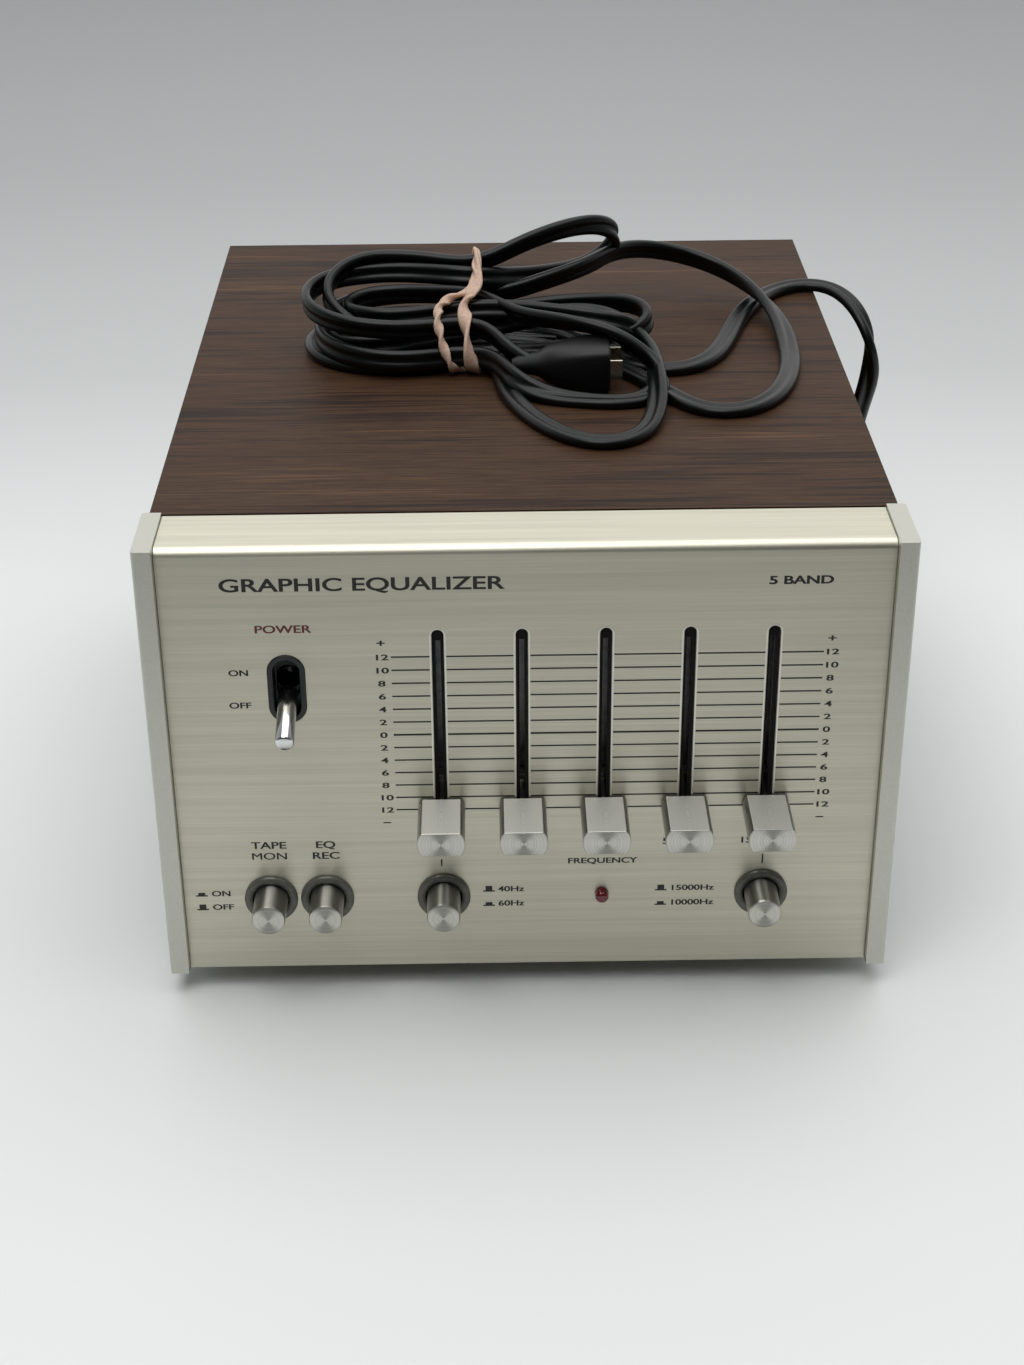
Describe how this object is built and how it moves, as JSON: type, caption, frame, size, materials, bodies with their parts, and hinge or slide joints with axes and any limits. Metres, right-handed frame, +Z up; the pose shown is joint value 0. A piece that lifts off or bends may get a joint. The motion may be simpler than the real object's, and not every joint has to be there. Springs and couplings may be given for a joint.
{
  "type": "graphic equalizer",
  "caption": "Desktop graphic equalizer: brushed metal front with vertical slide controls, push buttons and a power toggle, wood-clad case, mains lead tied in a hank on top.",
  "frame": {"origin": "on the surface that the feet stand on, under the middle of the case measured from the slider knobs' tips to the phono jacks' tips", "axes": "+X to the right as one faces the front panel, +Y from the front panel to the rear, +Z up"},
  "size_m": [0.2281, 0.321, 0.1715],
  "materials": {
    "panel_aluminium": "horizontally brushed, clear anodised, champagne tint",
    "cheek_aluminium": "satin blasted and anodised",
    "walnut_vinyl": "walnut-grain vinyl cladding, low gloss",
    "zinc_steel": "zinc-plated sheet",
    "rear_paint": "grey stove enamel",
    "black_plastic": "moulded, fine satin",
    "ring_plastic": "moulded, semi-gloss dark grey",
    "cap_aluminium": "turned, bright sides and a spun face",
    "knob_aluminium": "milled flats and a spun face",
    "stem_steel": "bare stamped steel",
    "lever_chrome": "polished chrome plate",
    "lens_red": "clear deep red acrylic",
    "lamp_sleeve": "white moulded sleeve",
    "screw_zinc": "zinc-plated",
    "pot_steel": "plated pressed case",
    "phenolic_tan": "moulded phenolic",
    "plunger_nylon": "natural nylon",
    "screen_black": "black flocked strip",
    "board_phenolic": "paper-phenolic board",
    "component_brown": "mixed sleeves and cans",
    "core_iron": "varnished laminations",
    "winding_copper": "enamelled wire under tape",
    "capacitor_sleeve": "shrink sleeve",
    "jack_board": "brown phenolic plate",
    "jack_nickel": "nickel plate",
    "insulator_cream": "moulded insulator",
    "gland_black": "moulded black vinyl",
    "foot_rubber": "moulded rubber",
    "cord_vinyl": "black vinyl twin lead, satin",
    "plug_vinyl": "moulded black vinyl",
    "band_rubber": "natural rubber band"
  },
  "bodies": {
    "case": {"front_panel": "panel_aluminium", "left_cheek": "cheek_aluminium", "right_cheek": "cheek_aluminium", "cabinet_cover": "walnut_vinyl", "chassis_tray": "zinc_steel", "rear_panel": "rear_paint", "control_bracket": "zinc_steel", "power_bezel": "black_plastic", "power_switch": "black_plastic", "pilot_lens": "lens_red", "pilot_lamp": "lamp_sleeve", "push_switches": "phenolic_tan", "slot_screens": "screen_black", "filter_board": "board_phenolic", "board_components": "component_brown", "transformer_core": "core_iron", "transformer_winding": "winding_copper", "smoothing_capacitor": "capacitor_sleeve", "jack_plate": "jack_board", "jack_shells": "jack_nickel", "jack_insulators": "insulator_cream", "ground_terminal": "jack_nickel", "cord_gland": "gland_black", "rubber_feet": "foot_rubber", "case_screws": "screw_zinc", "pot_screws": "screw_zinc", "mains_cord": "cord_vinyl", "cord_loop_right": "cord_vinyl", "cord_loop_front": "cord_vinyl", "cord_hank": "cord_vinyl", "mains_plug": "plug_vinyl", "rubber_band": "band_rubber", "button_bezel_1": "ring_plastic", "button_bezel_2": "ring_plastic", "button_bezel_3": "ring_plastic", "button_bezel_4": "ring_plastic", "slide_pot_1": "pot_steel", "slide_pot_2": "pot_steel", "slide_pot_3": "pot_steel", "slide_pot_4": "pot_steel", "slide_pot_5": "pot_steel"},
    "slider_1": {"slider_knob_1": "knob_aluminium", "slider_stem_1": "stem_steel"},
    "slider_2": {"slider_knob_2": "knob_aluminium", "slider_stem_2": "stem_steel"},
    "slider_3": {"slider_knob_3": "knob_aluminium", "slider_stem_3": "stem_steel"},
    "slider_4": {"slider_knob_4": "knob_aluminium", "slider_stem_4": "stem_steel"},
    "slider_5": {"slider_knob_5": "knob_aluminium", "slider_stem_5": "stem_steel"},
    "button_1": {"button_cap_1": "cap_aluminium", "button_plunger_1": "plunger_nylon"},
    "button_2": {"button_cap_2": "cap_aluminium", "button_plunger_2": "plunger_nylon"},
    "button_3": {"button_cap_3": "cap_aluminium", "button_plunger_3": "plunger_nylon"},
    "button_4": {"button_cap_4": "cap_aluminium", "button_plunger_4": "plunger_nylon"},
    "power_handle": {"power_lever": "lever_chrome"}
  },
  "joints": [
    {"name": "band_1_slide", "type": "slide", "parent": "case", "child": "slider_1", "axis": [0, 0, 1], "range_m": [0, 0.0492]},
    {"name": "band_2_slide", "type": "slide", "parent": "case", "child": "slider_2", "axis": [0, 0, 1], "range_m": [0, 0.0492]},
    {"name": "band_3_slide", "type": "slide", "parent": "case", "child": "slider_3", "axis": [0, 0, 1], "range_m": [0, 0.0492]},
    {"name": "band_4_slide", "type": "slide", "parent": "case", "child": "slider_4", "axis": [0, 0, 1], "range_m": [0, 0.0492]},
    {"name": "band_5_slide", "type": "slide", "parent": "case", "child": "slider_5", "axis": [0, 0, 1], "range_m": [0, 0.0492]},
    {"name": "button_1_press", "type": "slide", "parent": "case", "child": "button_1", "axis": [0, 1, 0], "range_m": [0, 0.004], "stiffness_N_per_m": 400, "springref_m": -0.002},
    {"name": "button_2_press", "type": "slide", "parent": "case", "child": "button_2", "axis": [0, 1, 0], "range_m": [0, 0.004], "stiffness_N_per_m": 400, "springref_m": -0.002},
    {"name": "button_3_press", "type": "slide", "parent": "case", "child": "button_3", "axis": [0, 1, 0], "range_m": [0, 0.004], "stiffness_N_per_m": 400, "springref_m": -0.002},
    {"name": "button_4_press", "type": "slide", "parent": "case", "child": "button_4", "axis": [0, 1, 0], "range_m": [0, 0.004], "stiffness_N_per_m": 400, "springref_m": -0.002},
    {"name": "power_toggle", "type": "hinge", "parent": "case", "child": "power_handle", "pos_m": [-0.066, -0.1101, 0.1015], "axis": [-1, 0, 0], "range_deg": [0, 32]}
  ]
}
